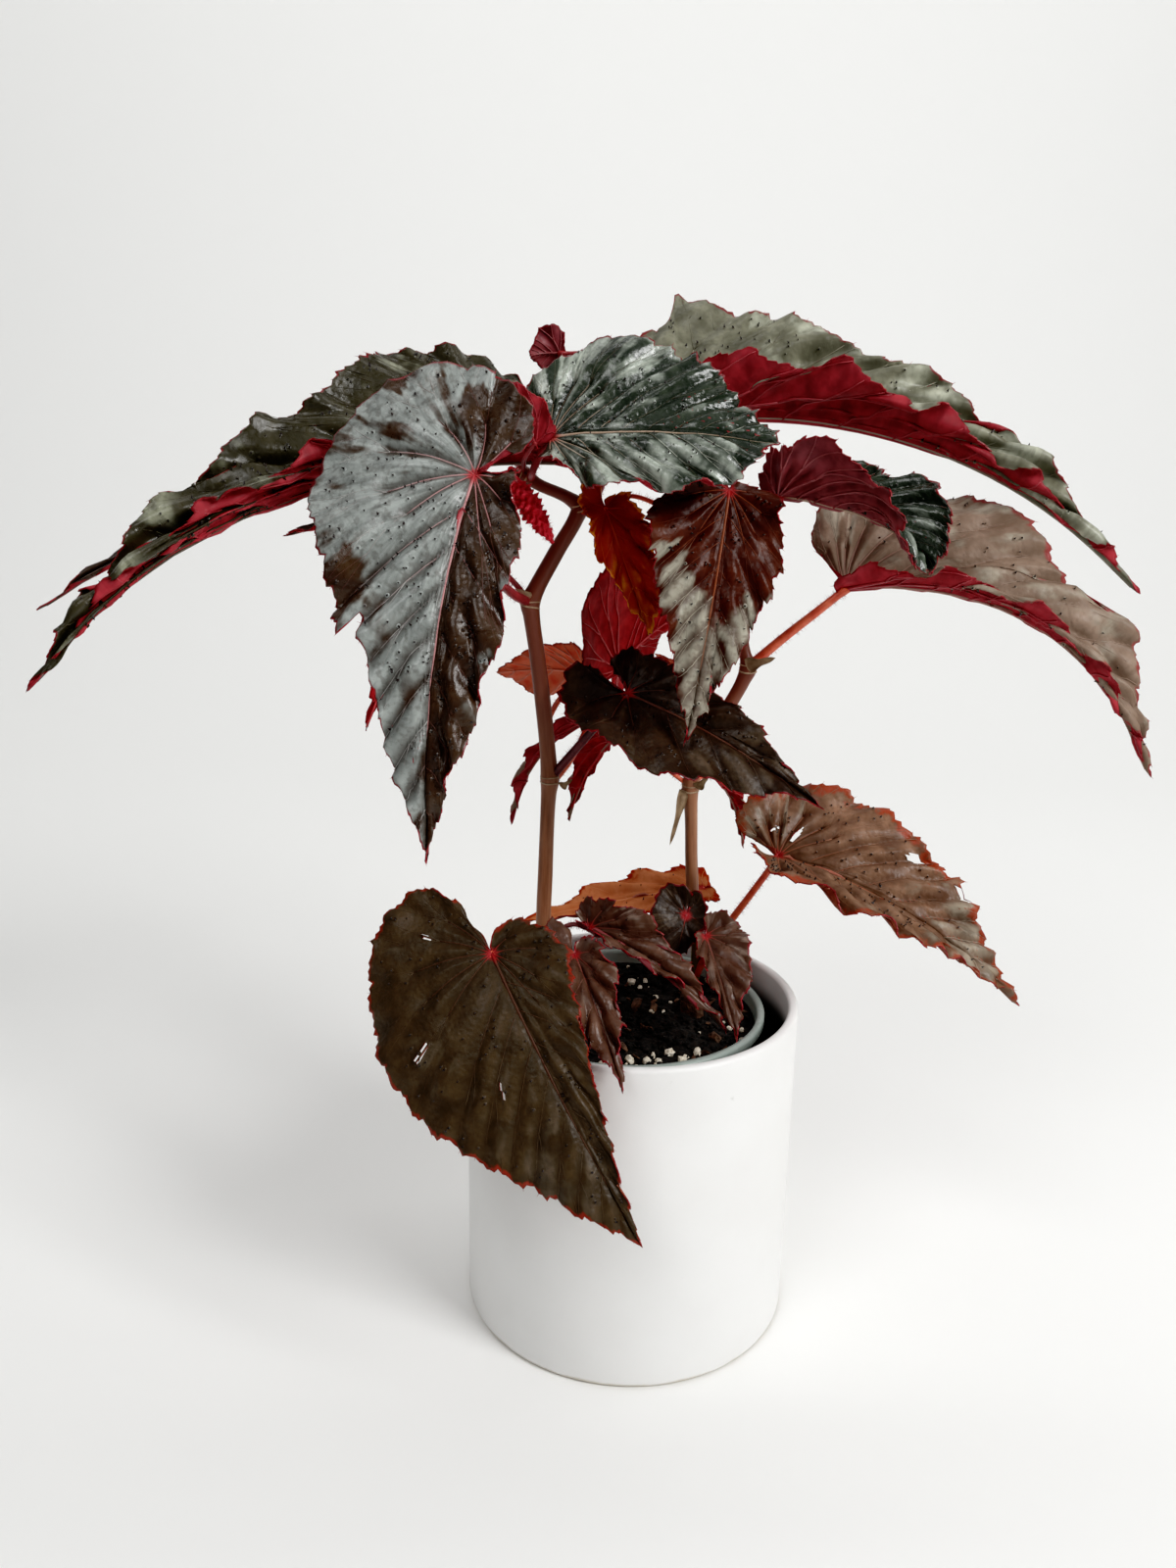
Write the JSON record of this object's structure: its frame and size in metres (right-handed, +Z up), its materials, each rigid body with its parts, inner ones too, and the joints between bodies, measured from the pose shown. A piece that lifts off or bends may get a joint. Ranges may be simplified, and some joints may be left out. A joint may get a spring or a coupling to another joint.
{
  "type": "potted black rex begonia",
  "caption": "Leafy cane plant with dark, red-backed pointed leaves, growing in a lined white cylinder pot.",
  "frame": {"origin": "on the floor under the middle of the pot's flat base", "axes": "+Z up; the front of the plant, the side that the picture shows, looks towards -Y, with +X to its right"},
  "size_m": [0.4632, 0.1947, 0.4509],
  "materials": {
    "pot": "smooth matte white glaze",
    "liner": "thin translucent grey-green plastic",
    "soil": "loose black potting mix with white grit and bark",
    "stem": "fleshy brown-purple cane, satin",
    "leaf_dark": "glossy dark top, crimson underside",
    "leaf_red": "crimson young leaf, satin",
    "leaf_old": "brown older leaf, satin",
    "leaf_orange": "translucent orange young leaf"
  },
  "bodies": {
    "root": {"cover_pot": "pot", "liner_pot": "liner", "soil": "soil", "stem_left": "stem", "stem_right": "stem", "leaf_front_hanging": "leaf_dark", "leaf_long_left": "leaf_dark", "leaf_long_right": "leaf_dark", "leaf_crown": "leaf_dark", "leaf_right": "leaf_dark", "leaf_right_folded": "leaf_red", "leaf_centre": "leaf_dark", "leaf_orange_small": "leaf_orange", "leaf_low_centre": "leaf_dark", "leaf_back_red": "leaf_red", "leaf_back_left": "leaf_red", "leaf_back_small": "leaf_red", "leaf_back_drop_left": "leaf_red", "leaf_back_drop_mid": "leaf_red", "leaf_back_drop_right": "leaf_red", "leaf_old_right": "leaf_old", "leaf_old_front": "leaf_old", "leaf_old_back": "leaf_old", "leaf_base_front": "leaf_old", "leaf_base_folded": "leaf_old", "leaf_base_round": "leaf_dark", "leaf_base_right": "leaf_old", "leaf_crown_back": "leaf_red", "leaf_young_red": "leaf_red", "leaf_behind_front": "leaf_red", "leaf_behind_left": "leaf_red", "leaf_behind_small": "leaf_red", "leaf_bud": "leaf_red"}
  },
  "joints": []
}
